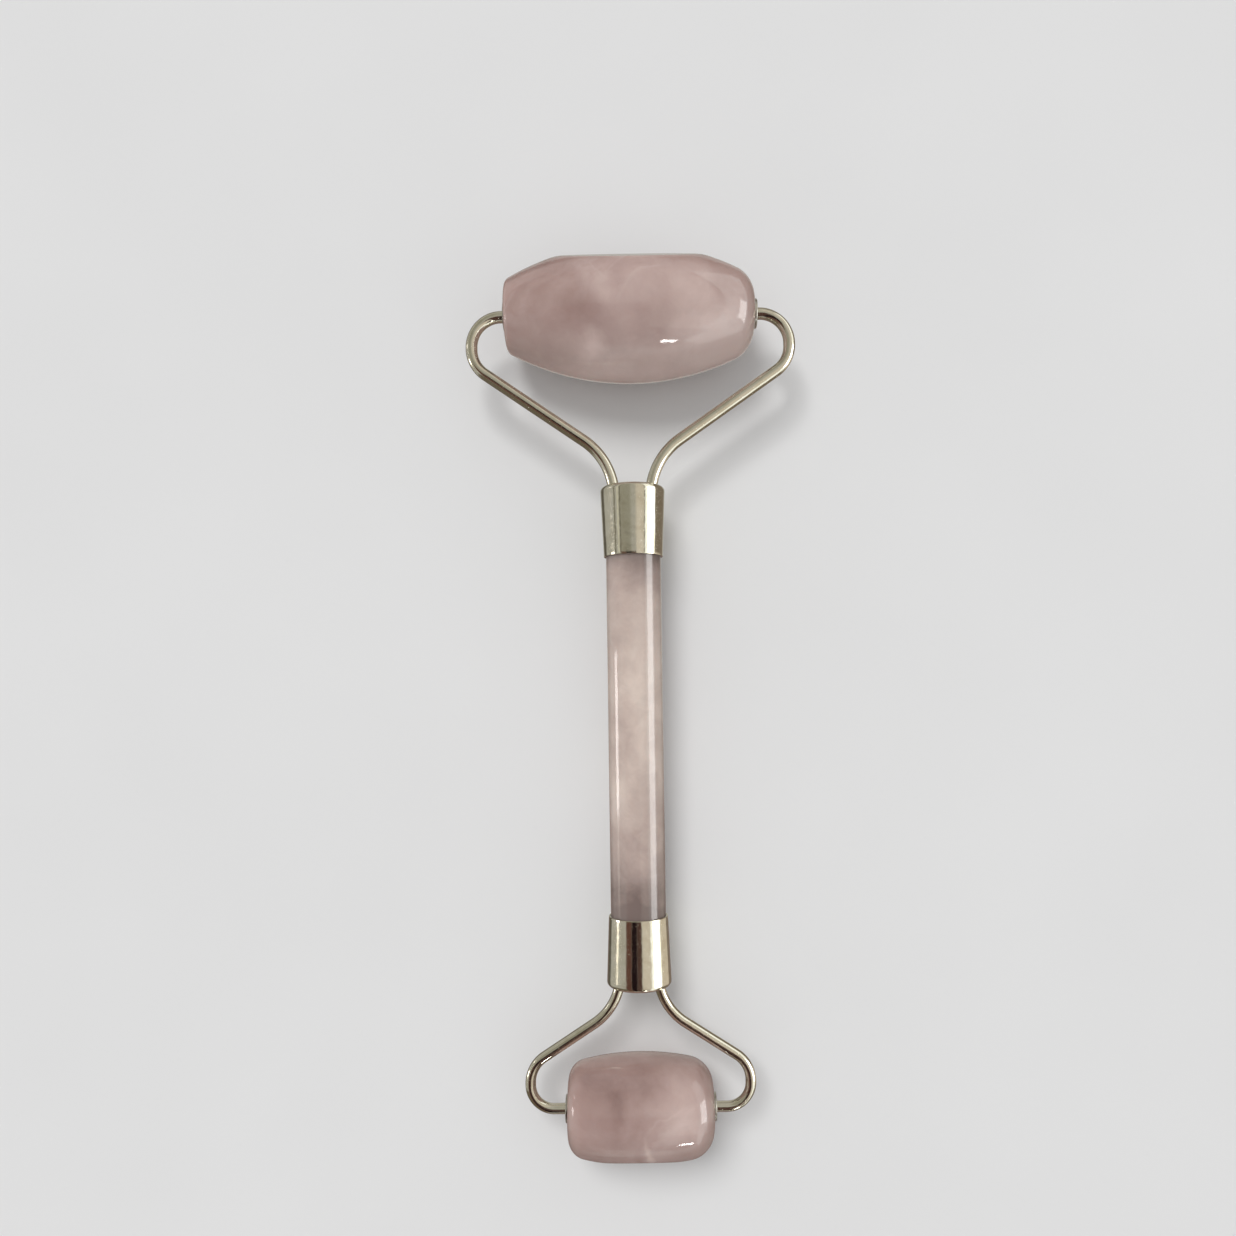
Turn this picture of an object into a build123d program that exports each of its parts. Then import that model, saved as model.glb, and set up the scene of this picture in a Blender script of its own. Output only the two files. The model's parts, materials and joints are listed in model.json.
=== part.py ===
from build123d import *
from dataclasses import dataclass
import math
import os

# A double-ended stone face roller: a stone rod for a handle, a ferrule at each end of it, and two
# bent wires from each ferrule that hold a barrel-shaped stone between their pins.
# Origin on the handle's axis, halfway along the handle. +Y runs along the handle to the large
# roller and +X to the right. +Z is up, square to the plane that the wires and both axles lie in.

# Handle rod
grip_length = 57.2  # bare stone between the ferrules
rod_diameter = 8.8
rod_seat = 5.6  # how far the rod goes into each ferrule
rod_edge = 0.4

# Ferrules: drawn cups, open towards the handle
ferrule_length = 11.2
ferrule_rim_diameter = 9.45
ferrule_end_diameter = 10.35
ferrule_wall = 0.25
ferrule_floor = 0.8
ferrule_rim_edge = 0.1
ferrule_end_edge = 0.8

# Wires: how far each leg is set into the ferrule, and the rounding of the pin's tip
leg_set_in = 5.0
pin_tip_edge = 0.25

# Bushes: glued in the stones, running on the wire pins
running_clearance = 0.05
bush_wall = 0.7
bush_length = 6.0
flange_width = 0.6
flange_thickness = 0.45
flange_edge = 0.12
glue_line = 0.03
pin_past_bush = 1.0  # how far the pin's tip reaches past the inner end of its bush

# Stones: barrels with a row of shallow ground flats, from the one they rest on round the outer side
flats_per_stone = 3
bore_edge = 0.3


@dataclass
class RollerEnd:
    """One end of the tool. Lengths are in mm and measured from the handle's middle or axis."""

    name: str
    side: int  # +1 for the end towards +Y, -1 for the other
    wire: float  # wire diameter
    axle_reach: float  # handle's middle to the roller's axle
    loop_half_width: float  # handle's axis to the outermost run of wire
    loop_height: float  # axle to the corner where the wire turns inwards
    throat_reach: float  # handle's middle to the corner above the ferrule
    throat_half_width: float
    loop_bend: float  # bend radii of the wire's centreline, from the pin to the ferrule
    shoulder_bend: float
    throat_bend: float
    stone_length: float
    stone_radius: float  # at the barrel's middle
    stone_end_radius: float  # where the barrel's arc meets the end face
    stone_flat: float  # axle to each flat
    flat_rise: float  # how far above the level the last flat faces, in degrees
    left_corner: float  # rounding of the two end edges, which hand polishing leaves unequal
    right_corner: float


large_end = RollerEnd(
    name="large",
    side=1,
    wire=1.9,
    axle_reach=67.3,
    loop_half_width=25.4,
    loop_height=7.7,
    throat_reach=44.1,
    throat_half_width=2.95,
    loop_bend=4.8,
    shoulder_bend=4.9,
    throat_bend=11.0,
    stone_length=39.5,
    stone_radius=10.5,
    stone_end_radius=5.55,
    stone_flat=8.95,
    flat_rise=25.0,
    left_corner=1.2,
    right_corner=4.9,
)
small_end = RollerEnd(
    name="small",
    side=-1,
    wire=1.7,
    axle_reach=59.4,
    loop_half_width=17.6,
    loop_height=6.85,
    throat_reach=43.1,
    throat_half_width=3.0,
    loop_bend=3.8,
    shoulder_bend=4.9,
    throat_bend=9.5,
    stone_length=23.1,
    stone_radius=8.5,
    stone_end_radius=6.85,
    stone_flat=8.1,
    flat_rise=24.2,
    left_corner=3.1,
    right_corner=4.4,
)
ends = (large_end, small_end)

rod_length = grip_length + 2 * rod_seat
cup_mouth = grip_length / 2  # handle's middle to the ferrule's open rim
cup_end = cup_mouth + ferrule_length


def bush_bore_radius(end):
    return end.wire / 2 + running_clearance


def bush_radius(end):
    return bush_bore_radius(end) + bush_wall


def turned(points, end):
    """The solid that a half profile, given as (radius, distance from the middle), sweeps about Y."""
    outline = [(radius, end.side * reach) for radius, reach in points]
    return revolve(make_face(Polyline(*outline, close=True)), Axis.Y)


def edges_at(shape, end, reach):
    """The round edges of a turned shape at that distance from the handle's middle."""
    return shape.edges().filter_by(GeomType.CIRCLE).filter_by_position(
        Axis.Y, end.side * reach - 0.01, end.side * reach + 0.01
    )


def handle_rod():
    rod = Rot(X=90) * Cylinder(rod_diameter / 2, rod_length)
    return chamfer(rod.edges().filter_by(GeomType.CIRCLE), rod_edge)


def cup_radius(reach):
    """The ferrule's outer radius at that distance from the handle's middle."""
    share = (reach - cup_mouth) / ferrule_length
    return (ferrule_rim_diameter + share * (ferrule_end_diameter - ferrule_rim_diameter)) / 2


def cup_shell(end):
    floor = cup_end - ferrule_floor
    cup = turned(
        [
            (0, cup_end),
            (cup_radius(cup_end), cup_end),
            (cup_radius(cup_mouth), cup_mouth),
            (cup_radius(cup_mouth) - ferrule_wall, cup_mouth),
            (cup_radius(floor) - ferrule_wall, floor),
            (0, floor),
        ],
        end,
    )
    cup = fillet(edges_at(cup, end, cup_end), ferrule_end_edge)
    return fillet(edges_at(cup, end, cup_mouth), ferrule_rim_edge)


def adhesive_plug(end):
    """Fills the cup from the rod's hidden end to the cup's floor."""
    floor = cup_end - ferrule_floor
    rod_end = rod_length / 2
    return turned(
        [
            (0, rod_end),
            (cup_radius(rod_end) - ferrule_wall, rod_end),
            (cup_radius(floor) - ferrule_wall, floor),
            (0, floor),
        ],
        end,
    )


def arm(end, hand):
    """One bent wire, from the pin's tip in the stone to the leg in the ferrule.

    hand is +1 for the right-hand wire and -1 for the left.
    """
    tip = end.stone_length / 2 - bush_length - pin_past_bush
    route = [
        (tip, end.axle_reach),
        (end.loop_half_width, end.axle_reach),
        (end.loop_half_width, end.axle_reach - end.loop_height),
        (end.throat_half_width, end.throat_reach),
        (end.throat_half_width, cup_end - leg_set_in),
    ]
    points = [(hand * across, end.side * along) for across, along in route]
    path = FilletPolyline(*points, radius=[end.loop_bend, end.shoulder_bend, end.throat_bend])
    section = Plane(origin=path @ 0, z_dir=path % 0) * Circle(end.wire / 2)
    wire = sweep(section, path=path)
    tip_edge = wire.edges().filter_by_position(Axis.X, hand * tip - 0.01, hand * tip + 0.01)
    return chamfer(tip_edge, pin_tip_edge)


def stone_profile(end):
    """Half of the stone's lengthwise section, outside its bore, with the two end edges rounded."""
    half = end.stone_length / 2
    bore = bush_radius(end) + glue_line
    crown = ThreePointArc(
        (-half, end.stone_end_radius), (0, end.stone_radius), (half, end.stone_end_radius)
    )
    ends_and_bore = Polyline(
        (half, end.stone_end_radius),
        (half, bore + bore_edge),
        (half - bore_edge, bore),
        (bore_edge - half, bore),
        (-half, bore + bore_edge),
        (-half, end.stone_end_radius),
    )
    face = make_face(crown + ends_and_bore)
    for hand, rounding in ((-1, end.left_corner), (1, end.right_corner)):
        at_end = face.vertices().filter_by_position(Axis.X, hand * half - 0.01, hand * half + 0.01)
        face = fillet(at_end.sort_by(Axis.Y)[-1], rounding)
    return face


def flat_directions(end):
    """The ways that the stone's flats face, in degrees from +Y towards +Z.

    Both stones rest on their first flat, so those two flats share one plane.
    """
    between_axles = large_end.axle_reach + small_end.axle_reach
    lean = math.degrees(math.asin((large_end.stone_flat - small_end.stone_flat) / between_axles))
    resting = -90 - lean if end.side > 0 else 270 - lean
    last = end.flat_rise if end.side > 0 else 180 - end.flat_rise
    step = (last - resting) / (flats_per_stone - 1)
    return [resting + index * step for index in range(flats_per_stone)]


def roller_stone(end):
    barrel = revolve(stone_profile(end), Axis.X)
    slab = Box(end.stone_length, end.stone_radius, 2 * end.stone_radius)
    for direction in flat_directions(end):
        barrel -= Rot(X=direction) * Pos(0, end.stone_flat + end.stone_radius / 2, 0) * slab
    return Pos(0, end.side * end.axle_reach, 0) * barrel


def bush(end, hand):
    """A flanged tube whose flange lies on the stone's end face."""
    face = end.stone_length / 2
    bore = bush_bore_radius(end)
    outline = Polyline(
        (face - bush_length, bore),
        (face - bush_length, bush_radius(end)),
        (face, bush_radius(end)),
        (face, bush_radius(end) + flange_width),
        (face + flange_thickness, bush_radius(end) + flange_width),
        (face + flange_thickness, bore),
        close=True,
    )
    tube = revolve(make_face(outline), Axis.X)
    lip = tube.edges().filter_by(GeomType.CIRCLE).sort_by(Axis.X)[-2:]
    tube = chamfer(lip, flange_edge)
    turn = 0 if hand > 0 else 180
    return Pos(0, end.side * end.axle_reach, 0) * Rot(Z=turn) * tube


def export(name, shape):
    shape.label = name
    export_step(shape, f"parts/{name}.step")


def build():
    os.makedirs("parts", exist_ok=True)
    export("handle_rod", handle_rod())
    for end in ends:
        arms = {"left": arm(end, -1), "right": arm(end, 1)}
        cup = cup_shell(end)
        plug = adhesive_plug(end)
        for hand, wire in arms.items():
            cup -= wire
            plug -= wire
            export(f"{end.name}_end_{hand}_arm", wire)
        export(f"{end.name}_end_ferrule", cup)
        export(f"{end.name}_end_adhesive", plug)
        export(f"{end.name}_roller_stone", roller_stone(end))
        for hand, sign in (("left", -1), ("right", 1)):
            export(f"{end.name}_roller_{hand}_bush", bush(end, sign))


build()
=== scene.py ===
import json
import math
from dataclasses import dataclass
from functools import cached_property

import bmesh
import bpy
import numpy as np
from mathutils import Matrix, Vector, noise


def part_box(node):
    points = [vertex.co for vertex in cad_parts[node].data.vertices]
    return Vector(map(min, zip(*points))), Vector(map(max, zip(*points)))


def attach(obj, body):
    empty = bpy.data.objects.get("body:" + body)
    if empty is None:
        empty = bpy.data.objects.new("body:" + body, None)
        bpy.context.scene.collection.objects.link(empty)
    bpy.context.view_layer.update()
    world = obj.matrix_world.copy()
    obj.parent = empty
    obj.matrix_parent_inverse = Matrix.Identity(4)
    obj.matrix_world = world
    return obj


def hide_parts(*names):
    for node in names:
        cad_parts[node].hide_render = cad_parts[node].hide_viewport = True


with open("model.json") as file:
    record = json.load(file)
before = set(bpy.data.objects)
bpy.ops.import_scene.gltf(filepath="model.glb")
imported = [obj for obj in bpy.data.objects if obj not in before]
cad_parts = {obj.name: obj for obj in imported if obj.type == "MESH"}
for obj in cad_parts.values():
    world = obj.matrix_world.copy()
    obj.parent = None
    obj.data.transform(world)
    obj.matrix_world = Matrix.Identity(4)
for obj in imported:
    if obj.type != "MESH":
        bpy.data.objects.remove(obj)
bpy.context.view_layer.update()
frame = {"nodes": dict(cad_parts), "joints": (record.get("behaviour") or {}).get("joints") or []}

# The looks of a double-ended rose quartz face roller, built around its CAD frame. Shapes are worked
# out in millimetres in the row frame and become metres when a mesh is made.
MM = 0.001
X_AXIS = 0
Y_AXIS = 1
Z_AXIS = 2


def mm_box(node):
    """The two corners of a CAD node's box, in millimetres."""
    low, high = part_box(node)
    return np.array(low) / MM, np.array(high) / MM


# Driving dimensions that the frame's boxes don't give, the same as in the CAD but for the last
flats_per_stone = 3
bore_edge = 0.3
glue_line = 0.03
running_clearance = 0.05
pin_past_bush = 1.0
pin_tip_edge = 0.25
rod_edge = 0.4
bush_wall = 0.7
bush_edge = 0.12
ferrule_rim_radius = 4.725
ferrule_end_radius = 5.175
ferrule_wall = 0.25
ferrule_floor = 0.8
ferrule_end_edge = 0.8
ferrule_rim_edge = 0.11  # 0.1 in the CAD

# What hand work and finishing change in the machined shapes
polish = 0.3  # how widely polishing blends a stone's flats into its barrel
stone_waviness = 0.035
stone_wave_size = 9.0
rod_waviness = 0.02
rod_wave_size = 7.0
bend_flattening = 0.035  # a wire's section loses this share of its thickness in a bend
hole_clearance = 0.06  # between a wire and its hole in the ferrule's end
flange_root_bevel = 0.01
flange_rim_bevel = 0.02

# Facets round each turned or drawn piece
stone_facets = 240
rod_facets = 160
ferrule_facets = 144
bush_facets = 72
wire_facets = 48


@dataclass
class End:
    """One end of the tool. Lengths are in mm and reaches are measured from the handle's middle."""

    name: str
    loop_height: float
    throat_reach: float
    throat_half_width: float
    bends: tuple  # radii of the wire's three bends, from the pin to the ferrule
    stone_radius: float  # at the barrel's middle
    stone_end_radius: float
    stone_flat: float  # axle to each flat
    flat_rise: float  # how far above the level the last flat faces, in degrees
    corners: tuple  # rounding of the stone's left and right end edges

    @cached_property
    def joint(self):
        return next(j for j in frame["joints"] if j["name"] == f"{self.name}_roller_spin")

    @cached_property
    def axle(self):
        return self.joint["pos_m"][Y_AXIS] / MM

    @cached_property
    def side(self):
        return math.copysign(1, self.axle)

    @cached_property
    def stone_half(self):
        return mm_box(f"{self.name}_roller_stone")[1][X_AXIS]

    @cached_property
    def crown_arc(self):
        """The radius of the arc that the barrel's outline follows lengthwise."""
        rise = self.stone_radius - self.stone_end_radius
        return (self.stone_half**2 + rise**2) / (2 * rise)

    @cached_property
    def flat_directions(self):
        """The ways the flats face, in radians from +Y towards +Z, from the one it rests on."""
        far, near = (next(e for e in ends if e.side == side) for side in (1, -1))
        lean = math.asin((far.stone_flat - near.stone_flat) / (far.axle - near.axle))
        resting = -math.pi / 2 - lean if self.side > 0 else math.pi * 1.5 - lean
        rise = math.radians(self.flat_rise)
        last = rise if self.side > 0 else math.pi - rise
        return np.linspace(resting, last, flats_per_stone)

    @cached_property
    def wire_radius(self):
        return mm_box(f"{self.name}_end_right_arm")[1][Z_AXIS]

    @cached_property
    def loop_half_width(self):
        return mm_box(f"{self.name}_end_right_arm")[1][X_AXIS] - self.wire_radius

    @cached_property
    def cup(self):
        """How far the ferrule's open rim and its closed end are from the handle's middle."""
        low, high = mm_box(f"{self.name}_end_ferrule")
        return sorted((abs(low[Y_AXIS]), abs(high[Y_AXIS])))

    @cached_property
    def leg_end(self):
        low, high = mm_box(f"{self.name}_end_right_arm")
        return min(abs(low[Y_AXIS]), abs(high[Y_AXIS]))

    @cached_property
    def bush_span(self):
        """The right-hand bush's inner end and outer face, and its flange's radius."""
        low, high = mm_box(f"{self.name}_roller_right_bush")
        return low[X_AXIS], high[X_AXIS], high[Z_AXIS]


large = End(
    name="large",
    loop_height=7.7,
    throat_reach=44.1,
    throat_half_width=2.95,
    bends=(4.8, 4.9, 11.0),
    stone_radius=10.5,
    stone_end_radius=5.55,
    stone_flat=8.95,
    flat_rise=25.0,
    corners=(1.2, 4.9),
)
small = End(
    name="small",
    loop_height=6.85,
    throat_reach=43.1,
    throat_half_width=3.0,
    bends=(3.8, 4.9, 9.5),
    stone_radius=8.5,
    stone_end_radius=6.85,
    stone_flat=8.1,
    flat_rise=24.2,
    corners=(3.1, 4.4),
)
ends = (large, small)
hands = (("left", -1), ("right", 1))
rod_radius = mm_box("handle_rod")[1][Z_AXIS]
rod_half = mm_box("handle_rod")[1][Y_AXIS]


# ---------------------------------------------------------------------------------------- meshes


def make_piece(name, points, faces, sharp_above=40):
    """A smooth-shaded mesh object from points in mm, with the edges above that angle kept sharp."""
    mesh = bpy.data.meshes.new(name)
    mesh.from_pydata((np.asarray(points) * MM).tolist(), [], faces)
    mesh.validate()
    mesh.polygons.foreach_set("use_smooth", [True] * len(mesh.polygons))
    mesh.set_sharp_from_angle(angle=math.radians(sharp_above))
    mesh.update()
    piece = bpy.data.objects.new(name, mesh)
    bpy.context.scene.collection.objects.link(piece)
    return piece


def ring_faces(rings, around, joined=False):
    """Quads between rings of points, each ring closed on itself. joined closes the last to the first."""
    faces = []
    for r in range(rings if joined else rings - 1):
        here = r * around
        there = (r + 1) % rings * around
        for a in range(around):
            b = (a + 1) % around
            faces.append((here + a, here + b, there + b, there + a))
    return faces


def capped(points, faces, rings, around):
    """Closes the first and last rings with fans about their middles."""
    points = list(points)
    first = points[:around]
    last = points[(rings - 1) * around : rings * around]
    points.append(np.mean(first, axis=0))
    points.append(np.mean(last, axis=0))
    start = rings * around
    for a in range(around):
        b = (a + 1) % around
        faces.append((start, b, a))
        faces.append((start + 1, (rings - 1) * around + a, (rings - 1) * around + b))
    return points, faces


def arc(centre, radius, start, stop, steps):
    """Points on an arc in a profile's plane, angles in degrees, both ends included."""
    turn = np.radians(np.linspace(start, stop, steps + 1))
    return [(centre[0] + radius * math.cos(t), centre[1] + radius * math.sin(t)) for t in turn]


def line(start, stop, step):
    """Points from start towards stop, evenly spaced, without the last."""
    count = max(1, round(math.dist(start, stop) / step))
    return [tuple(np.array(start) + (np.array(stop) - start) * i / count) for i in range(count)]


def spin(profile, around, axis):
    """Rings of points made by turning a profile of (along, radius) about the X or the Y axis."""
    angles = np.arange(around) * 2 * math.pi / around
    points = []
    for along, radius in profile:
        for t in angles:
            y, z = radius * math.cos(t), radius * math.sin(t)
            points.append((along, y, z) if axis == X_AXIS else (y, along, -z))
    return points


def ripple(point, size, depth):
    """How far hand polishing has taken a surface below its machined shape at that point."""
    place = Vector(point) / size
    return depth * (0.5 + 0.5 * noise.noise(place))


# ---------------------------------------------------------------------------------------- stones


def crown_radius(end, along):
    """The barrel's radius at that distance from its middle, before the flats and the corners."""
    return math.sqrt(end.crown_arc**2 - along**2) + end.stone_radius - end.crown_arc


def corner(end, hand, rounding, steps):
    """The rounded edge between an end face and the barrel, from the face to the barrel."""
    arc_centre = end.stone_radius - end.crown_arc
    along = end.stone_half - rounding
    up = math.sqrt((end.crown_arc - rounding) ** 2 - along**2)
    stop = math.degrees(math.atan2(up, along))
    points = arc((along, arc_centre + up), rounding, 0, stop, steps)
    return [(hand * x, r) for x, r in points]


def stone_profile(end):
    """The closed lengthwise section of half the stone: bore, right face, barrel, left face."""
    bore = end.wire_radius + running_clearance + bush_wall + glue_line
    edge = bore_edge
    half = end.stone_half
    barrel_stations = 97
    left_rounding, right_rounding = end.corners
    right = corner(end, 1, right_rounding, steps=14)
    left = corner(end, -1, left_rounding, steps=10)
    profile = line((-half + edge, bore), (half - edge, bore), step=2.0)
    profile += arc((half - edge, bore + edge), edge, -90, 0, steps=5)
    profile += line((half, bore + edge), right[0], step=0.5)[1:]
    profile += right
    span = np.linspace(right[-1][0], left[-1][0], barrel_stations)[1:-1]
    profile += [(x, crown_radius(end, x)) for x in span]
    profile += left[::-1]
    profile += line(left[0], (-half, bore + edge), step=0.5)[1:]
    profile += arc((-half + edge, bore + edge), edge, -180, -90, steps=5)[:-1]
    return profile


def blended_min(a, b, width):
    """The smaller of two distances, rounded where they are within width of each other."""
    share = min(1.0, max(0.0, 0.5 + 0.5 * (b - a) / width))
    return b + (a - b) * share - width * share * (1 - share)


def flat_distance(end, angle):
    """How far the flats let the surface reach in that direction from the axle."""
    facing = max(math.cos(angle - direction) for direction in end.flat_directions)
    least_facing = 0.5  # at 60 degrees off, a flat is already beyond the barrel
    return end.stone_flat / max(facing, least_facing)


def roller_stone(end):
    """A barrel-shaped stone, bored through, its flats and edges softened by polishing."""
    profile = stone_profile(end)
    worked_from = end.stone_end_radius * 0.8  # inside this radius the faces and bore stay as cut
    points = []
    for along, radius in profile:
        for t in np.arange(stone_facets) * 2 * math.pi / stone_facets:
            reach = radius
            if radius > worked_from:
                reach = blended_min(radius, flat_distance(end, t), polish)
                seat = (along, end.axle + reach * math.cos(t), reach * math.sin(t))
                reach -= ripple(seat, stone_wave_size, stone_waviness)
            points.append((along, end.axle + reach * math.cos(t), reach * math.sin(t)))
    faces = ring_faces(len(profile), stone_facets, joined=True)
    return make_piece(f"{end.name}_stone", points, faces, sharp_above=70)


def handle_stone():
    """The round rod between the ferrules, its hidden ends bevelled."""
    stations = np.linspace(-rod_half + rod_edge, rod_half - rod_edge, 150)
    profile = [(-rod_half, rod_radius - rod_edge)]
    profile += [(y, rod_radius) for y in stations]
    profile += [(rod_half, rod_radius - rod_edge)]
    points = []
    for x, y, z in spin(profile, rod_facets, Y_AXIS):
        sink = 1 - ripple((x, y, z), rod_wave_size, rod_waviness) / rod_radius
        points.append((x * sink, y, z * sink))
    faces = ring_faces(len(profile), rod_facets)
    points, faces = capped(points, faces, len(profile), rod_facets)
    return make_piece("handle_stone", points, faces)


# ----------------------------------------------------------------------------------------- metal


def wire_route(end, hand):
    """The wire's corner points from the pin's tip to the leg's end, in the XY plane."""
    inner, _, _ = end.bush_span
    across = end.loop_half_width
    height = abs(end.axle)
    route = [
        (inner - pin_past_bush, height),
        (across, height),
        (across, height - end.loop_height),
        (end.throat_half_width, end.throat_reach),
        (end.throat_half_width, end.leg_end),
    ]
    return [np.array((hand * x, end.side * y)) for x, y in route]


def rounded_route(route, bends, straight_step=0.8, turn_step=math.radians(3)):
    """Stations along a route with rounded corners: place, direction and how far into a bend."""
    stations = []
    start = route[0]
    for before, point, after, radius in zip(route, route[1:], route[2:], bends):
        arriving = (point - before) / np.linalg.norm(point - before)
        leaving = (after - point) / np.linalg.norm(after - point)
        turn = math.acos(np.clip(arriving @ leaving, -1, 1))
        way = math.copysign(1, arriving[0] * leaving[1] - arriving[1] * leaving[0])
        reach = radius * math.tan(turn / 2)
        entry = point - arriving * reach
        centre = entry + way * radius * np.array((-arriving[1], arriving[0]))
        stations += [(np.array(p), arriving, 0.0) for p in line(start, entry, straight_step)]
        count = math.ceil(turn / turn_step)
        for i in range(count):
            t = way * turn * i / count
            c, s = math.cos(t), math.sin(t)
            turned = np.array(((c, -s), (s, c)))
            place = centre + turned @ (entry - centre)
            stations.append((place, turned @ arriving, math.sin(math.pi * i / count)))
        start = point + leaving * reach
    last = route[-1]
    stations += [(np.array(p), leaving, 0.0) for p in line(start, last, straight_step)]
    return stations + [(last, leaving, 0.0)]


def arm_wire(end, hand_name, hand):
    """One bent wire with a bevelled pin, its section a little flattened in the bends."""
    stations = rounded_route(wire_route(end, hand), end.bends)
    tip, heading, _ = stations[0]
    radii = [end.wire_radius - pin_tip_edge] + [end.wire_radius] * len(stations)
    stations = [stations[0], (tip + heading * pin_tip_edge, heading, 0.0)] + stations[1:]
    points = []
    drawn = []
    travelled = 0.0
    previous = tip
    for (place, heading, bend), radius in zip(stations, radii):
        travelled += float(np.linalg.norm(place - previous))
        previous = place
        sideways = np.array((-heading[1], heading[0]))
        for t in np.arange(wire_facets) * 2 * math.pi / wire_facets:
            offset = sideways * radius * (1 - bend_flattening * bend) * math.cos(t)
            points.append((*(place + offset), radius * math.sin(t)))
            drawn.append((travelled, radius * math.cos(t), radius * math.sin(t)))
    faces = ring_faces(len(stations), wire_facets)
    points, faces = capped(points, faces, len(stations), wire_facets)
    drawn += [(0.0, 0.0, 0.0), (travelled, 0.0, 0.0)]
    piece = make_piece(f"{end.name}_{hand_name}_wire", points, faces)
    lengthwise = piece.data.attributes.new("drawn", "FLOAT_VECTOR", "POINT")
    lengthwise.data.foreach_set("vector", np.ravel(drawn))
    return piece


def cup_profile(end):
    """The ferrule's half section as (along, radius), from its end's middle to its inner floor's."""
    mouth, tip = end.cup
    slope = (ferrule_end_radius - ferrule_rim_radius) / (tip - mouth)

    def outer(reach):
        return ferrule_rim_radius + slope * (reach - mouth)

    edge = ferrule_end_edge
    lean = math.degrees(math.atan(slope))
    centre = (tip - edge, outer(tip) - edge * (1 + slope) / math.cos(math.radians(lean)))
    shoulder = arc(centre, edge, 0, 90 + lean, steps=12)
    lip = (mouth + ferrule_rim_edge, outer(mouth) - ferrule_rim_edge)
    inner_floor = tip - ferrule_floor
    inner_mouth = (mouth, outer(mouth) - ferrule_wall)
    inner_corner = (inner_floor, outer(inner_floor) - ferrule_wall)
    profile = line((tip, 0.0), shoulder[0], step=0.4)
    profile += shoulder
    profile += line(shoulder[-1], (mouth + ferrule_rim_edge, outer(mouth)), step=0.4)[1:]
    profile += arc(lip, ferrule_rim_edge, 90, 180, steps=5)
    profile += line((mouth, lip[1]), inner_mouth, step=0.05)[1:]
    profile += line(inner_mouth, inner_corner, step=0.8)
    profile += line(inner_corner, (inner_floor, 0.0), step=0.8)
    return profile


def drill(piece, cutters):
    """Takes the cutters out of a piece for good."""
    for cutter in cutters:
        cut = piece.modifiers.new("hole", "BOOLEAN")
        cut.operation = "DIFFERENCE"
        cut.solver = "EXACT"
        cut.object = cutter
    bpy.context.view_layer.update()
    graph = bpy.context.evaluated_depsgraph_get()
    drilled = bpy.data.meshes.new_from_object(piece.evaluated_get(graph), depsgraph=graph)
    piece.modifiers.clear()
    piece.data = drilled
    for cutter in cutters:
        bpy.data.objects.remove(cutter)


def hole_cutter(end, hand_name, hand):
    """A round bar that cuts one wire's hole through the ferrule's end."""
    reach = 3.0  # past the end's outer face, inwards and outwards
    _, tip = end.cup
    radius = end.wire_radius + hole_clearance
    rims = [(end.side * (tip - reach), radius), (end.side * (tip + reach), radius)]
    middle = hand * end.throat_half_width
    points = [(x + middle, y, z) for x, y, z in spin(rims, wire_facets, Y_AXIS)]
    faces = ring_faces(len(rims), wire_facets)
    points, faces = capped(points, faces, len(rims), wire_facets)
    return make_piece(f"cutter_{hand_name}", points, faces)


def ferrule(end):
    """A drawn cup with a rounded end, a rounded rim and two holes for the wires."""
    smallest_ring = 0.02  # so that the rings next to the axis keep a size
    profile = cup_profile(end)
    profile = [(end.side * along, max(radius, smallest_ring)) for along, radius in profile]
    points = spin(profile, ferrule_facets, Y_AXIS)
    faces = ring_faces(len(profile), ferrule_facets)
    points, faces = capped(points, faces, len(profile), ferrule_facets)
    piece = make_piece(f"{end.name}_ferrule", points, faces)
    cutters = [hole_cutter(end, name, hand) for name, hand in hands]
    drill(piece, cutters)
    piece.data.set_sharp_from_angle(angle=math.radians(35))
    return piece


def bush(end, hand_name, hand):
    """A flanged tube in the stone's bore, its flange lying on the stone's end face."""
    inner, outer, flange = end.bush_span
    bore = end.wire_radius + running_clearance
    tube = bore + bush_wall
    face = end.stone_half
    edge = bush_edge
    profile = [(inner, bore), (inner, tube)]
    profile += [(face - flange_root_bevel, tube), (face, tube + flange_root_bevel)]
    profile += [(face, flange - flange_rim_bevel), (face + flange_rim_bevel, flange)]
    profile += arc((outer - edge, flange - edge), edge, 90, 0, steps=5)
    profile += arc((outer - edge, bore + edge), edge, 0, -90, steps=5)
    profile = [(hand * along, radius) for along, radius in profile]
    points = [(x, y + end.axle, z) for x, y, z in spin(profile, bush_facets, X_AXIS)]
    faces = ring_faces(len(profile), bush_facets, joined=True)
    return make_piece(f"{end.name}_{hand_name}_bushing", points, faces)


def face_outwards(piece):
    """Turns every face's normal outwards, whichever way its profile was drawn."""
    shape = bmesh.new()
    shape.from_mesh(piece.data)
    bmesh.ops.recalc_face_normals(shape, faces=shape.faces)
    shape.to_mesh(piece.data)
    shape.free()


# ------------------------------------------------------------------------------------- materials


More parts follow.
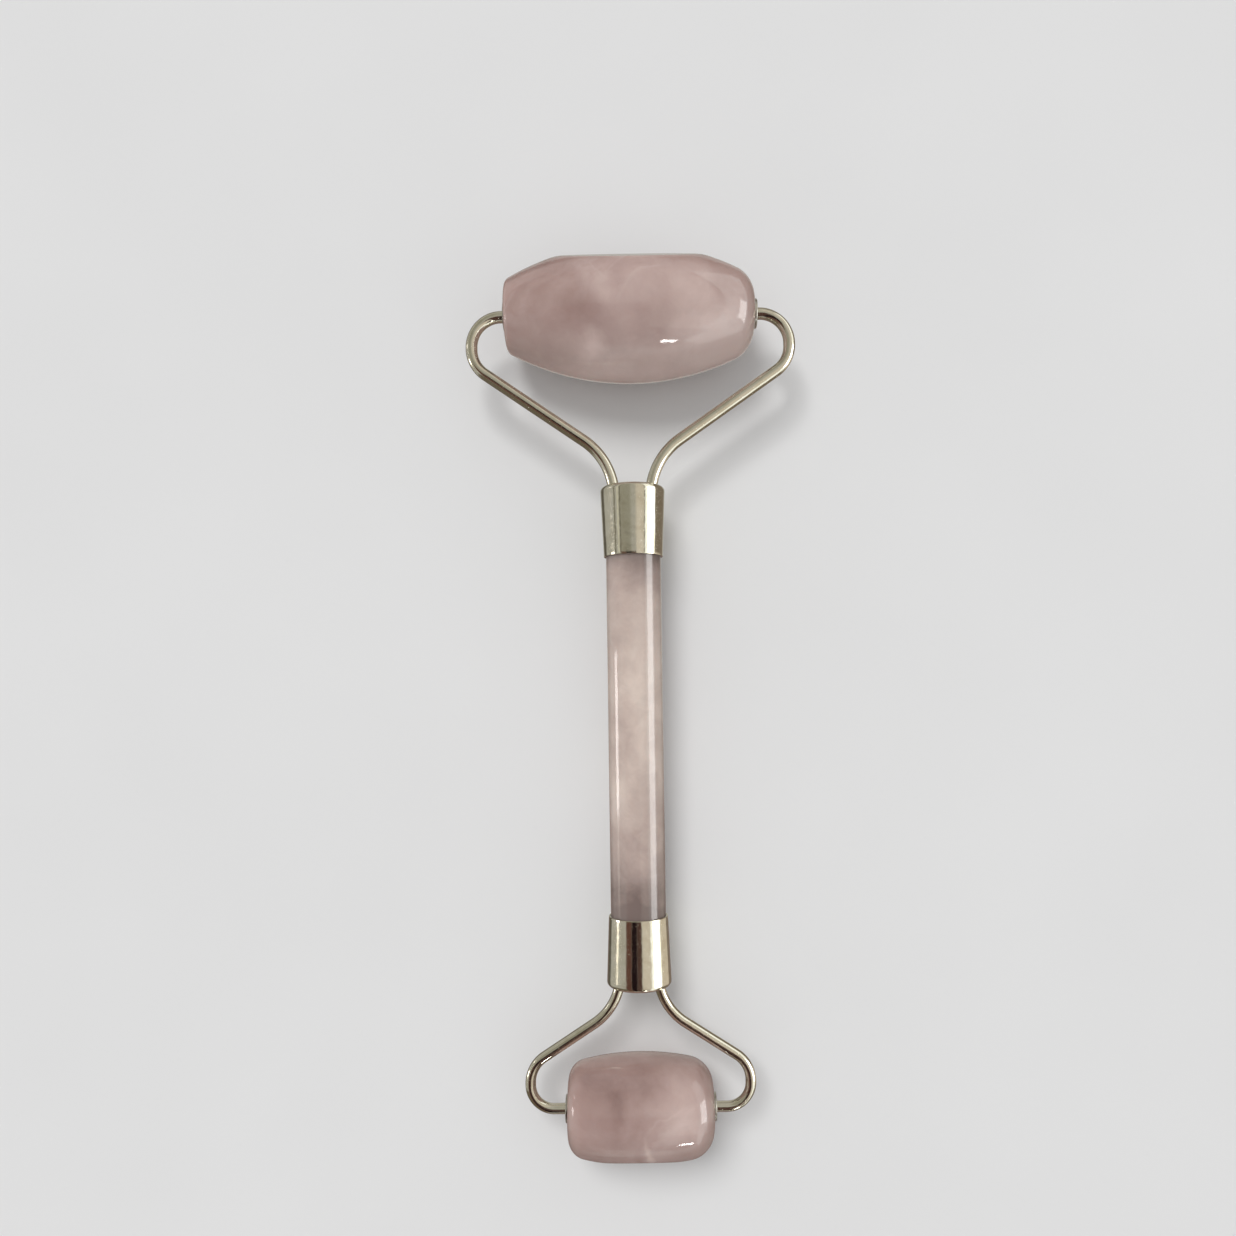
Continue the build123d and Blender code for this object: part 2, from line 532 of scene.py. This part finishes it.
class Graph:
    """A material's or a world's nodes. Every call except node returns an output socket."""

    def __init__(self, owner):
        owner.use_nodes = True
        self.tree = owner.node_tree

    def node(self, kind, inputs=None, **properties):
        made = self.tree.nodes.new(kind)
        for name, value in properties.items():
            setattr(made, name, value)
        for socket, value in (inputs or {}).items():
            if isinstance(value, bpy.types.NodeSocket):
                self.tree.links.new(value, made.inputs[socket])
            else:
                made.inputs[socket].default_value = value
        return made

    def math(self, operation, a, b=0.0):
        return self.node("ShaderNodeMath", {0: a, 1: b}, operation=operation).outputs[0]

    def vector(self, operation, a, b=(0.0, 0.0, 0.0), scale=1.0):
        inputs = {0: a, "Scale": scale} if operation == "SCALE" else {0: a, 1: b}
        made = self.node("ShaderNodeVectorMath", inputs, operation=operation)
        return made.outputs["Value" if operation in ("LENGTH", "DOT_PRODUCT") else "Vector"]

    def smooth(self, value, start, stop, low=0.0, high=1.0):
        """low at start and high at stop, with an eased step between them."""
        inputs = {"Value": value, 1: start, 2: stop, 3: low, 4: high}
        made = self.node("ShaderNodeMapRange", inputs, interpolation_type="SMOOTHSTEP")
        return made.outputs["Result"]

    def noise(self, place, scale, detail=3.0, roughness=0.5, colour=False):
        inputs = {"Vector": place, "Scale": scale, "Detail": detail, "Roughness": roughness}
        made = self.node("ShaderNodeTexNoise", inputs)
        return made.outputs["Color" if colour else "Fac"]

    def ramp(self, value, stops):
        """A colour for each value; stops are (value, (red, green, blue))."""
        made = self.node("ShaderNodeValToRGB", {"Fac": value})
        band = made.color_ramp
        while len(band.elements) < len(stops):
            band.elements.new(0.5)
        for element, (place, colour) in zip(band.elements, stops):
            element.position = place
            element.color = (*colour, 1.0)
        return made.outputs["Color"]

    def mix(self, share, a, b):
        made = self.node("ShaderNodeMix", data_type="RGBA")
        for index, value in ((0, share), (6, a), (7, b)):
            if isinstance(value, bpy.types.NodeSocket):
                self.tree.links.new(value, made.inputs[index])
            else:
                made.inputs[index].default_value = value
        return made.outputs[2]

    def bump(self, height, strength, distance):
        """A normal for a relief whose height of 1 stands for distance, in metres."""
        inputs = {"Height": height, "Strength": strength, "Distance": distance}
        return self.node("ShaderNodeBump", inputs).outputs["Normal"]


def new_material(name, colour):
    material = bpy.data.materials.new(name)
    material.diffuse_color = (*colour, 1.0)
    graph = Graph(material)
    return material, graph, graph.tree.nodes["Principled BSDF"]


def row_place(graph):
    """Where a point of the piece is at rest, in millimetres."""
    coordinates = graph.node("ShaderNodeTexCoord").outputs["Object"]
    return graph.vector("SCALE", coordinates, scale=1 / MM)


@dataclass
class CloudOrPaintedLight:
    """A soft lighter or darker patch in a stone's colour, in mm from the stone's middle.
    Most are clouds inside the stone; some are painted light and some painted shade.
    """

    place: tuple
    size: tuple
    weight: float


@dataclass
class Veins:
    """A set of healed cracks that lie one way through the stone."""

    tilt: tuple  # radians about X, Y and Z
    scale: float
    weight: float


crossing_veins = [Veins((0.3, 0.5, 0.7), 0.13, 0.09), Veins((1.1, -0.4, -0.6), 0.19, 0.07)]
vein_stretch = (1.0, 0.22, 0.35)
vein_colour = (0.80, 0.70, 0.67, 1.0)


def clouded_and_painted_tone(graph, here, seeded, swirl, warped, clouds_and_painted_light, painted_light_and_tone):
    """How light the stone is, about 0 to 1, from its clouds and grain and from painted light and shade,
    before the ferrules' painted shade.
    """
    seeded_swirl = graph.vector("ADD", seeded, graph.vector("SCALE", swirl, scale=6.0))
    broad = graph.noise(seeded_swirl, 0.085, detail=5, roughness=0.55)
    tone = graph.math("MULTIPLY", graph.math("SUBTRACT", broad, 0.5), 0.9)
    # Painted light and shade: the tone changes along X, Y and Z, lighter on one side; the last value
    # shifts the stone's own tone.
    *slope, everywhere = painted_light_and_tone
    tone = graph.math("ADD", tone, 0.5 + everywhere)
    tone = graph.math("ADD", tone, graph.vector("DOT_PRODUCT", here, slope))
    # Clouds in the stone, among them patches of painted light and painted shade.
    for cloud_or_painted_light in clouds_and_painted_light:
        offset = graph.vector("SUBTRACT", warped, cloud_or_painted_light.place)
        offset = graph.vector("DIVIDE", offset, cloud_or_painted_light.size)
        inside = graph.smooth(graph.vector("LENGTH", offset), 1.0, 0.0, 0.0, cloud_or_painted_light.weight)
        tone = graph.math("ADD", tone, inside)
    fine = graph.noise(warped, 0.9, detail=4, roughness=0.6)
    grain = graph.math("MULTIPLY", graph.math("SUBTRACT", fine, 0.5), 0.10)
    return graph.math("ADD", tone, grain)


def veined(graph, colour, seeded, warped):
    """The stone's colour with thin pale veins that come and go."""
    for veins in crossing_veins:
        turned = graph.node("ShaderNodeMapping", {"Vector": warped, "Rotation": veins.tilt})
        stretched = graph.vector("MULTIPLY", turned.outputs["Vector"], vein_stretch)
        cracks = graph.noise(stretched, veins.scale, detail=3, roughness=0.5)
        cracks = graph.math("ABSOLUTE", graph.math("SUBTRACT", cracks, 0.5))
        cracks = graph.smooth(cracks, 0.06, 0.0)
        patch = graph.noise(seeded, 0.07 + veins.scale / 5, detail=1)
        patch = graph.smooth(patch, 0.48, 0.66)
        strength = graph.math("MULTIPLY", graph.math("MULTIPLY", cracks, patch), veins.weight)
        colour = graph.mix(strength, colour, vein_colour)
    return colour


def polished_skin(graph, shader, here):
    """A glassy surface with slight waves, a few tiny pits and uneven gloss."""
    link = graph.tree.links.new
    wear = graph.noise(here, 0.6, detail=5, roughness=0.7)
    link(graph.smooth(wear, 0.3, 0.75, 0.03, 0.10), shader.inputs["Roughness"])
    waves = graph.noise(here, 0.35, detail=2)
    pits = graph.smooth(graph.noise(here, 3.2, detail=2), 0.30, 0.22)
    skin = graph.math("SUBTRACT", waves, graph.math("MULTIPLY", pits, 0.12))
    link(graph.bump(skin, strength=0.5, distance=0.00004), shader.inputs["Normal"])
    shader.inputs["Coat Weight"].default_value = 0.25
    shader.inputs["Coat Roughness"].default_value = 0.03


def quartz(name, middle, clouds_and_painted_light, palette, painted_light_and_tone, grain_seed, painted_shade=None):
    """Polished rose quartz: soft clouds, a few healed cracks and a glassy, slightly wavy skin.

    palette goes from the darkest tone to the lightest. Among the clouds are patches of painted light
    and painted shade. The change per millimetre along X, Y and Z that follows them is painted light
    and shade, and the change everywhere after it is the stone's own tone. The optional last argument
    paints shade: how much darker each place is painted.
    """
    material, graph, shader = new_material(name, palette[1])
    here = graph.vector("SUBTRACT", row_place(graph), middle)
    seeded = graph.vector("ADD", here, (grain_seed, 2.3 * grain_seed, -1.7 * grain_seed))
    swirl = graph.noise(seeded, 0.11, detail=4, colour=True)
    swirl = graph.vector("SUBTRACT", swirl, (0.5, 0.5, 0.5))
    warped = graph.vector("ADD", here, graph.vector("SCALE", swirl, scale=9.0))
    tone = clouded_and_painted_tone(graph, here, seeded, swirl, warped, clouds_and_painted_light, painted_light_and_tone)
    # Painted shade: a piece can be painted darker where the last argument says, as the rod is near the
    # ferrules.
    if painted_shade is not None:
        tone = graph.math("SUBTRACT", tone, painted_shade(graph, here))
    last = len(palette) - 1
    colour = graph.ramp(tone, [(i / last, shade) for i, shade in enumerate(palette)])
    colour = veined(graph, colour, seeded, warped)
    graph.tree.links.new(colour, shader.inputs["Base Color"])
    polished_skin(graph, shader, here)
    shader.inputs["IOR"].default_value = 1.54
    shader.inputs["Subsurface Weight"].default_value = 0.7
    shader.inputs["Subsurface Radius"].default_value = (1.0, 0.8, 0.75)
    shader.inputs["Subsurface Scale"].default_value = 0.004
    return material


def plated_metal(name, lengthwise=None):
    """Warm nickel plate, a little uneven, with fine marks along a drawn wire or round a cup."""
    material, graph, shader = new_material(name, (0.72, 0.68, 0.6))
    link = graph.tree.links.new
    here = row_place(graph)
    stain = graph.noise(here, 0.45, detail=5, roughness=0.6)
    colour = graph.ramp(
        stain, [(0.25, (0.66, 0.62, 0.50)), (0.5, (0.76, 0.725, 0.61)), (0.8, (0.80, 0.77, 0.68))]
    )
    link(colour, shader.inputs["Base Color"])
    if lengthwise:
        along = graph.node("ShaderNodeAttribute", attribute_name=lengthwise).outputs["Vector"]
        marks = graph.noise(graph.vector("MULTIPLY", along, (0.12, 5.0, 5.0)), 1.0, detail=3)
    else:
        marks = graph.noise(graph.vector("MULTIPLY", here, (0.3, 5.0, 0.3)), 1.0, detail=3)
    smudge = graph.noise(here, 1.3, detail=4, roughness=0.65)
    rough = graph.smooth(smudge, 0.35, 0.75, 0.07, 0.17)
    rough = graph.math("ADD", rough, graph.math("MULTIPLY", marks, 0.03))
    link(rough, shader.inputs["Roughness"])
    waves = graph.noise(here, 0.55, detail=2)
    relief = graph.math("ADD", waves, graph.math("MULTIPLY", marks, 0.10))
    specks = graph.smooth(graph.noise(here, 4.5, detail=1), 0.70, 0.76)
    relief = graph.math("ADD", relief, graph.math("MULTIPLY", specks, 0.35))
    link(graph.bump(relief, strength=0.5, distance=0.00006), shader.inputs["Normal"])
    shader.inputs["Metallic"].default_value = 1.0
    return material


def turned_steel(name):
    """The bushes: satin metal with fine turning marks about the axle."""
    material, graph, shader = new_material(name, (0.6, 0.58, 0.54))
    link = graph.tree.links.new
    here = row_place(graph)
    rings = graph.noise(graph.vector("MULTIPLY", here, (14.0, 0.4, 0.4)), 1.0, detail=3)
    colour = graph.ramp(rings, [(0.3, (0.46, 0.44, 0.40)), (0.7, (0.62, 0.60, 0.55))])
    link(colour, shader.inputs["Base Color"])
    link(graph.smooth(rings, 0.2, 0.8, 0.22, 0.38), shader.inputs["Roughness"])
    link(graph.bump(rings, strength=0.4, distance=0.00002), shader.inputs["Normal"])
    shader.inputs["Metallic"].default_value = 1.0
    return material


def cured_resin(name):
    """The adhesive in the ferrules: cloudy cream resin with small bubbles."""
    material, graph, shader = new_material(name, (0.85, 0.83, 0.76))
    link = graph.tree.links.new
    here = row_place(graph)
    cloudy = graph.noise(here, 0.8, detail=4)
    colour = graph.ramp(cloudy, [(0.3, (0.70, 0.66, 0.55)), (0.7, (0.86, 0.83, 0.75))])
    link(colour, shader.inputs["Base Color"])
    link(graph.smooth(cloudy, 0.2, 0.8, 0.25, 0.45), shader.inputs["Roughness"])
    bubbles = graph.node("ShaderNodeTexVoronoi", {"Vector": here, "Scale": 1.6})
    dents = graph.smooth(bubbles.outputs["Distance"], 0.12, 0.2)
    link(graph.bump(dents, strength=0.5, distance=0.0001), shader.inputs["Normal"])
    return material


def give(piece, material):
    """Puts one material on every face of a piece."""
    if piece.data.materials:
        for slot in piece.material_slots:
            slot.material = material
    else:
        piece.data.materials.append(material)


# ---------------------------------------------------------------------------------- put together

# Tones of the quartz from the darkest to the lightest. The rod lets light through and looks paler.
stone_palette = [
    (0.245, 0.155, 0.140),
    (0.385, 0.268, 0.243),
    (0.520, 0.393, 0.362),
    (0.705, 0.565, 0.525),
]
rod_palette = [
    (0.225, 0.172, 0.156),
    (0.485, 0.388, 0.350),
    (0.730, 0.630, 0.560),
    (0.830, 0.760, 0.700),
]

large_clouds_and_painted_light = [
    CloudOrPaintedLight((-2.4, 1.2, 8.0), (2.6, 4.6, 6.0), 0.20),
    CloudOrPaintedLight((-6.4, -6.8, 6.0), (3.6, 3.2, 6.0), 0.34),
    CloudOrPaintedLight((-8.0, -3.0, 8.0), (8.0, 4.5, 8.0), -0.15),
    CloudOrPaintedLight((-16.0, -3.0, 6.0), (7.0, 8.0, 9.0), -0.14),
    # Painted light: the two patches at the right end make it lighter, standing in for light from the
    # right.
    CloudOrPaintedLight((10.0, 1.0, 8.0), (12.0, 8.0, 9.0), 0.18),
    CloudOrPaintedLight((13.0, -6.0, 6.0), (9.0, 6.0, 8.0), 0.20),
]
small_clouds_and_painted_light = [
    CloudOrPaintedLight((-0.6, 3.2, 7.0), (3.0, 3.2, 5.0), -0.24),
    CloudOrPaintedLight((-4.8, 3.8, 7.0), (3.6, 3.2, 5.0), -0.22),
    CloudOrPaintedLight((-8.0, 5.0, 4.0), (5.0, 5.0, 6.0), -0.11),
    # Painted light: this patch makes the right end lighter, standing in for light from the right.
    CloudOrPaintedLight((6.5, 1.0, 7.0), (6.0, 8.5, 8.0), 0.25),
    CloudOrPaintedLight((1.6, -4.5, 6.0), (1.3, 5.0, 5.0), 0.26),
    CloudOrPaintedLight((-0.6, -5.0, 6.0), (1.5, 4.0, 4.0), -0.20),
]
rod_clouds_and_painted_shade = [
    CloudOrPaintedLight((0.0, 6.0, 4.0), (5.0, 16.0, 5.0), 0.16),
    # Painted shade: the two darker patches near the ends stand in for the ferrules' shade.
    CloudOrPaintedLight((0.0, 24.0, 0.0), (12.0, 16.0, 12.0), -0.10),
    CloudOrPaintedLight((0.0, -21.0, 0.0), (12.0, 20.0, 12.0), -0.32),
]

# Painted light and shade: the tone's change per millimetre along X, Y and Z, lighter mostly towards the
# side that the key light leaves in shade, then its change everywhere, which is the stone's own tone
large_painted_light_and_tone = (0.006, -0.037, 0.0, 0.0)
small_painted_light_and_tone = (0.0, -0.020, 0.0, -0.02)
rod_painted_light_and_tone = (-0.005, 0.0, 0.0, 0.015)


def painted_ferrule_shade(graph, here):
    """Painted shade: the rod lets light through, so it is painted darker where the opaque ferrules close
    it off.
    """
    reach = graph.node("ShaderNodeSeparateXYZ", {"Vector": here}).outputs["Y"]
    reach = graph.math("ABSOLUTE", reach)
    bare_end, _ = large.cup
    wide_reach, wide_depth = 12.0, 0.20
    close_reach, close_depth = 3.0, 0.18
    wide = graph.smooth(reach, bare_end - wide_reach, bare_end, 0.0, wide_depth)
    close = graph.smooth(reach, bare_end - close_reach, bare_end, 0.0, close_depth)
    return graph.math("ADD", wide, close)


def fit(piece, body, slot, material, *nodes):
    """Finishes a piece and puts it in the stead of its CAD nodes."""
    face_outwards(piece)
    give(piece, material)
    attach(piece, body)
    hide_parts(*nodes)


def build_object():
    """Makes every piece and returns the two roller stones, the large one first."""
    nickel = plated_metal("nickel_plate")
    drawn_nickel = plated_metal("nickel_wire", lengthwise="drawn")
    steel = turned_steel("bush_metal")
    resin = cured_resin("cured_adhesive")
    rod_look = quartz(
        "handle_quartz",
        middle=(0.0, 0.0, 0.0),
        clouds_and_painted_light=rod_clouds_and_painted_shade,
        palette=rod_palette,
        painted_light_and_tone=rod_painted_light_and_tone,
        grain_seed=7.1,
        painted_shade=painted_ferrule_shade,
    )
    looks = {
        "large": quartz(
            "large_quartz",
            middle=(0.0, large.axle, 0.0),
            clouds_and_painted_light=large_clouds_and_painted_light,
            palette=stone_palette,
            painted_light_and_tone=large_painted_light_and_tone,
            grain_seed=3.0,
        ),
        "small": quartz(
            "small_quartz",
            middle=(0.0, small.axle, 0.0),
            clouds_and_painted_light=small_clouds_and_painted_light,
            palette=stone_palette,
            painted_light_and_tone=small_painted_light_and_tone,
            grain_seed=11.0,
        ),
    }

    fit(handle_stone(), "handle", "handle_stone", rod_look, "handle_rod")
    stones = []
    for end in ends:
        roller = f"{end.name}_roller"
        stone = roller_stone(end)
        fit(stone, roller, "roller_stone", looks[end.name], f"{roller}_stone")
        stones.append(stone)
        fit(ferrule(end), "handle", "plated_ferrule", nickel, f"{end.name}_end_ferrule")
        for hand_name, hand in hands:
            wire = arm_wire(end, hand_name, hand)
            fit(wire, "handle", "plated_wire", drawn_nickel, f"{end.name}_end_{hand_name}_arm")
            tube = bush(end, hand_name, hand)
            fit(tube, roller, "bush_metal", steel, f"{roller}_{hand_name}_bush")
        give(frame["nodes"][f"{end.name}_end_adhesive"], resin)
    return stones


# ------------------------------------------------------------------------------- floor and light

floor_half_width = 3.0  # in metres, far past the picture's edges


def lay_floor(stones):
    """A plain pale floor that both stones rest on, a little tilted because they differ in size."""
    far, near = (min(stone.data.vertices, key=lambda v: v.co.z).co for stone in stones)
    slope = (far.z - near.z) / (far.y - near.y)
    level = far.z - slope * far.y
    half = floor_half_width
    outline = ((-half, -half), (half, -half), (half, half), (-half, half))
    mesh = bpy.data.meshes.new("floor")
    mesh.from_pydata([(x, y, level + slope * y) for x, y in outline], [], [(0, 1, 2, 3)])
    floor = bpy.data.objects.new("floor", mesh)
    bpy.context.scene.collection.objects.link(floor)
    floor.visible_glossy = False
    material, graph, shader = new_material("pale_floor", (0.8, 0.8, 0.8))
    here = row_place(graph)
    shade = graph.noise(here, 0.02, detail=3)
    colour = graph.ramp(shade, [(0.3, (0.74, 0.74, 0.74)), (0.7, (0.76, 0.76, 0.76))])
    graph.tree.links.new(colour, shader.inputs["Base Color"])
    shader.inputs["Roughness"].default_value = 0.85
    shader.inputs["Specular IOR Level"].default_value = 0.2
    mesh.materials.append(material)


@dataclass
class Panel:
    """Something that polished surfaces reflect, placed by two angles in degrees.

    across turns from straight up towards +X, and along tilts towards +Y.
    """

    across: tuple
    along: tuple
    soft: float
    light: tuple


room = (0.46, 0.45, 0.41)
even_light = (0.57, 0.57, 0.57, 1.0)
backdrop = (0.76, 0.76, 0.76, 1.0)
panels = [
    # Below the level: dark sides with one paler patch, and the shade under the tool
    Panel((88, 150), (-91, 91), 8.0, (0.22, 0.18, 0.14)),
    Panel((86, 132), (-22, 3), 5.0, (0.66, 0.58, 0.48)),
    Panel((-152, -126), (-91, 91), 8.0, (0.11, 0.10, 0.08)),
    Panel((150, 190), (-91, -3), 8.0, (0.22, 0.165, 0.145)),
    Panel((-190, -150), (-91, -3), 8.0, (0.22, 0.165, 0.145)),
    # Dull and pale bands, with the narrow lines that the large end's metal shows at its left
    Panel((-46, -8), (-1, 60), 14.0, (0.33, 0.32, 0.265)),
    Panel((12, 45), (-60, 60), 12.0, (0.68, 0.62, 0.54)),
    Panel((-73, -67), (-1, 60), 2.0, (0.17, 0.16, 0.12)),
    Panel((-59, -53), (-1, 60), 3.0, (0.66, 0.64, 0.54)),
    Panel((-50, -45), (-1, 60), 2.0, (0.17, 0.16, 0.12)),
    # The bright wall at the right with its dark edge and the window in it
    Panel((45, 90), (-60, 60), 2.5, (1.22, 1.24, 1.18)),
    Panel((41.5, 45.5), (-1, 60), 1.5, (0.20, 0.19, 0.15)),
    Panel((56, 84), (-19, 16), 3.0, (5.2, 5.2, 5.1)),
    # Small lights low at the left
    Panel((-93, -79), (-6.8, 2), 1.5, (6.2, 5.9, 5.7)),
    Panel((-91, -82), (-13, -7.2), 1.5, (1.5, 1.42, 1.25)),
    Panel((-93, -83), (17, 22), 1.5, (3.0, 2.9, 2.8)),
    # The brown and black bands that the small end's metal shows
    Panel((-48, -27), (-70, 1), 2.5, (0.13, 0.065, 0.050)),
    Panel((-27, -6), (-70, 1), 3.0, (0.016, 0.008, 0.009)),
    Panel((-6, 11), (-70, 1), 3.0, (0.085, 0.045, 0.038)),
    # Dark places towards -Y, for the lower sides of the wires
    Panel((8, 50), (-74, -40), 5.0, (0.08, 0.05, 0.04)),
    Panel((-125, -48), (-76, -27), 7.0, (0.15, 0.125, 0.09)),
    Panel((80, 130), (-62, -33), 7.0, (0.18, 0.145, 0.105)),
    # A small lamp, for the glint low on each stone
    Panel((29, 43), (-63.5, -59), 1.2, (16.0, 16.0, 15.5)),
]


def light_room():
    """Even light for the surfaces, and a room with panels that only reflections show."""
    world = bpy.data.worlds.new("studio")
    bpy.context.scene.world = world
    graph = Graph(world)
    graph.tree.nodes.clear()
    way = graph.node("ShaderNodeTexCoord").outputs["Generated"]
    axes = graph.node("ShaderNodeSeparateXYZ", {"Vector": way}).outputs
    across = graph.math("DEGREES", graph.math("ARCTAN2", axes["X"], axes["Z"]))
    along = graph.math("DEGREES", graph.math("ARCSINE", axes["Y"]))
    seen = room + (1.0,)
    for panel in panels:
        masks = []
        for value, (low, high) in ((across, panel.across), (along, panel.along)):
            off = graph.math("ABSOLUTE", graph.math("SUBTRACT", value, (low + high) / 2))
            half = (high - low) / 2
            masks.append(graph.smooth(off, half + panel.soft / 2, half - panel.soft / 2))
        seen = graph.mix(graph.math("MULTIPLY", *masks), seen, (*panel.light, 1.0))
    rays = graph.node("ShaderNodeLightPath").outputs
    shown = graph.mix(rays["Is Glossy Ray"], even_light, seen)
    shown = graph.mix(rays["Is Camera Ray"], shown, backdrop)
    background = graph.node("ShaderNodeBackground", {"Color": shown, "Strength": 1.0})
    output = graph.node("ShaderNodeOutputWorld")
    graph.tree.links.new(background.outputs["Background"], output.inputs["Surface"])
    world.cycles.sampling_method = "NONE"


key_strength = 1.55
key_spread = 25  # degrees
key_heading = (0.28, -0.62, -1.0)


def add_key():
    """A soft sun from the far left, which throws the soft shadows towards the near right."""
    sun = bpy.data.lights.new("key", "SUN")
    sun.energy = key_strength
    sun.angle = math.radians(key_spread)
    key = bpy.data.objects.new("key", sun)
    bpy.context.scene.collection.objects.link(key)
    key.rotation_mode = "QUATERNION"
    key.rotation_quaternion = Vector(key_heading).to_track_quat("-Z", "Y")
    key.visible_glossy = False


camera_place = (0.28, 7.04, 160.0)
camera_turn = -0.813  # degrees about Z
camera_lens = 29.13
camera_sensor = 36.0
camera_shift = (-0.0154, 0.0599)


def add_camera():
    """Looks straight down on the tool, which leans a little to the left in the picture."""
    data = bpy.data.cameras.new("camera")
    camera = bpy.data.objects.new("camera", data)
    bpy.context.scene.collection.objects.link(camera)
    data.sensor_width = camera_sensor
    data.lens = camera_lens
    data.shift_x, data.shift_y = camera_shift
    data.clip_start = 0.01
    data.clip_end = 10.0
    camera.location = [distance * MM for distance in camera_place]
    camera.rotation_euler = (0.0, 0.0, math.radians(camera_turn))
    bpy.context.scene.camera = camera


stones = build_object()
lay_floor(stones)
light_room()
add_key()
add_camera()
bpy.context.scene.view_settings.view_transform = "Standard"
bpy.context.scene.view_settings.look = "None"
